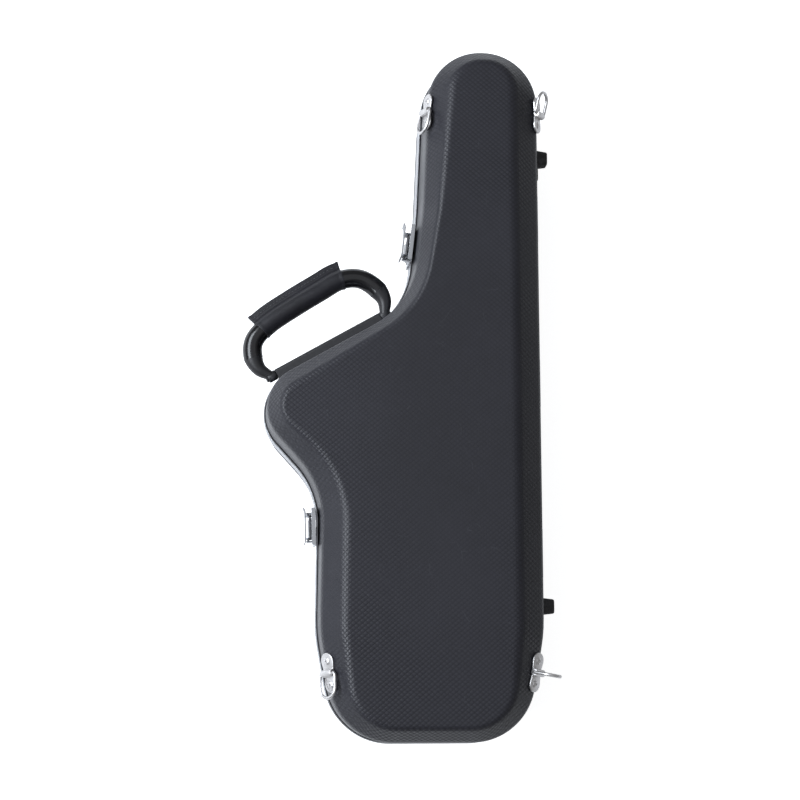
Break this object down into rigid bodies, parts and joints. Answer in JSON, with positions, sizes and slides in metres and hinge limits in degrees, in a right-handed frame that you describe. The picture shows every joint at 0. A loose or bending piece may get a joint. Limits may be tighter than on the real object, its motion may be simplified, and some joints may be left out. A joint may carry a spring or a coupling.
{
  "type": "alto saxophone case",
  "caption": "Shaped hard case for an alto saxophone, with a hinged lid, draw latches, a swinging side handle, strap rings and a fitted lining.",
  "frame": {"origin": "on the back shell's flat face, at the middle of the lower body's width and of the case's length", "axes": "+Z out of the back through the lid, +Y along the case towards the neck end, +X towards the hinged spine"},
  "size_m": [0.2935, 0.66, 0.1693],
  "materials": {
    "shell_plastic": "satin black with a fine woven texture",
    "valance_aluminium": "drawn, dark lower band",
    "seal_rubber": "matt",
    "lining_plush": "short pile over foam",
    "hinge_steel": "plated",
    "latch_chrome": "polished",
    "bracket_nickel": "polished",
    "handle_plastic": "satin",
    "grip_leather": "matt, stitched",
    "foot_rubber": "matt"
  },
  "bodies": {
    "base": {"base_shell": "shell_plastic", "base_valance": "valance_aluminium", "seal": "seal_rubber", "base_lining": "lining_plush", "hinge_1_base_leaf": "hinge_steel", "hinge_1_pin": "hinge_steel", "hinge_2_base_leaf": "hinge_steel", "hinge_2_pin": "hinge_steel", "hinge_3_base_leaf": "hinge_steel", "hinge_3_pin": "hinge_steel", "upper_latch_catch": "latch_chrome", "lower_latch_catch": "latch_chrome", "handle_mount": "handle_plastic", "handle_pin_1": "latch_chrome", "handle_pin_2": "latch_chrome", "base_foot_top": "foot_rubber", "base_foot_bottom": "foot_rubber"},
    "lid": {"lid_shell": "shell_plastic", "lid_valance": "valance_aluminium", "lid_lining": "lining_plush", "hinge_1_lid_leaf": "hinge_steel", "hinge_2_lid_leaf": "hinge_steel", "hinge_3_lid_leaf": "hinge_steel", "upper_latch_housing": "latch_chrome", "lower_latch_housing": "latch_chrome", "top_left_bracket": "bracket_nickel", "top_right_bracket": "bracket_nickel", "bottom_left_bracket": "bracket_nickel", "bottom_right_bracket": "bracket_nickel", "lid_foot_top": "foot_rubber", "lid_foot_bottom": "foot_rubber"},
    "upper_latch_lever": {"upper_latch_lever": "latch_chrome"},
    "upper_latch_claw": {"upper_latch_claw": "latch_chrome"},
    "lower_latch_lever": {"lower_latch_lever": "latch_chrome"},
    "lower_latch_claw": {"lower_latch_claw": "latch_chrome"},
    "top_left_ring": {"top_left_ring": "bracket_nickel"},
    "top_right_ring": {"top_right_ring": "bracket_nickel"},
    "bottom_left_ring": {"bottom_left_ring": "bracket_nickel"},
    "bottom_right_ring": {"bottom_right_ring": "bracket_nickel"},
    "handle": {"handle_loop": "handle_plastic", "handle_grip": "grip_leather"}
  },
  "joints": [
    {"name": "lid_hinge", "type": "hinge", "parent": "base", "child": "lid", "pos_m": [0.1093, 0, 0.088], "axis": [0, 1, 0], "range_deg": [0, 110]},
    {"name": "upper_latch_lever_pivot", "type": "hinge", "parent": "lid", "child": "upper_latch_lever", "pos_m": [-0.02118, 0.14346, 0.096], "axis": [-0.1102, -0.9939, 0], "range_deg": [0, 100]},
    {"name": "upper_latch_claw_pivot", "type": "hinge", "parent": "upper_latch_lever", "child": "upper_latch_claw", "pos_m": [-0.0193, 0.14325, 0.103], "axis": [-0.1102, -0.9939, 0], "range_deg": [-90, 0]},
    {"name": "lower_latch_lever_pivot", "type": "hinge", "parent": "lid", "child": "lower_latch_lever", "pos_m": [-0.11296, -0.13105, 0.096], "axis": [0.0295, -0.9996, 0], "range_deg": [0, 100]},
    {"name": "lower_latch_claw_pivot", "type": "hinge", "parent": "lower_latch_lever", "child": "lower_latch_claw", "pos_m": [-0.11106, -0.131, 0.103], "axis": [0.0295, -0.9996, 0], "range_deg": [-90, 0]},
    {"name": "top_left_ring_hinge", "type": "hinge", "parent": "lid", "child": "top_left_ring", "pos_m": [-0.00612, 0.26396, 0.14553], "axis": [-0.4135, 0.0189, -0.9103], "range_deg": [0, 164]},
    {"name": "top_right_ring_hinge", "type": "hinge", "parent": "lid", "child": "top_right_ring", "pos_m": [0.10436, 0.264, 0.14598], "axis": [0.5347, 0, -0.845], "range_deg": [-7, 157]},
    {"name": "bottom_left_ring_hinge", "type": "hinge", "parent": "lid", "child": "bottom_left_ring", "pos_m": [-0.09579, -0.26478, 0.14947], "axis": [-0.6562, -0.1195, -0.7451], "range_deg": [-4, 160]},
    {"name": "bottom_right_ring_hinge", "type": "hinge", "parent": "lid", "child": "bottom_right_ring", "pos_m": [0.09517, -0.26467, 0.14967], "axis": [0.7095, -0.1293, -0.6928], "range_deg": [-82, 82]},
    {"name": "handle_hinge", "type": "hinge", "parent": "base", "child": "handle", "pos_m": [-0.0938, 0.04966, 0.0681], "axis": [-0.8672, -0.498, 0], "range_deg": [-60, 60]}
  ],
  "couplings": [
    {"joint": "upper_latch_claw_pivot", "follows": "upper_latch_lever_pivot", "ratio": -0.9},
    {"joint": "lower_latch_claw_pivot", "follows": "lower_latch_lever_pivot", "ratio": -0.9}
  ]
}
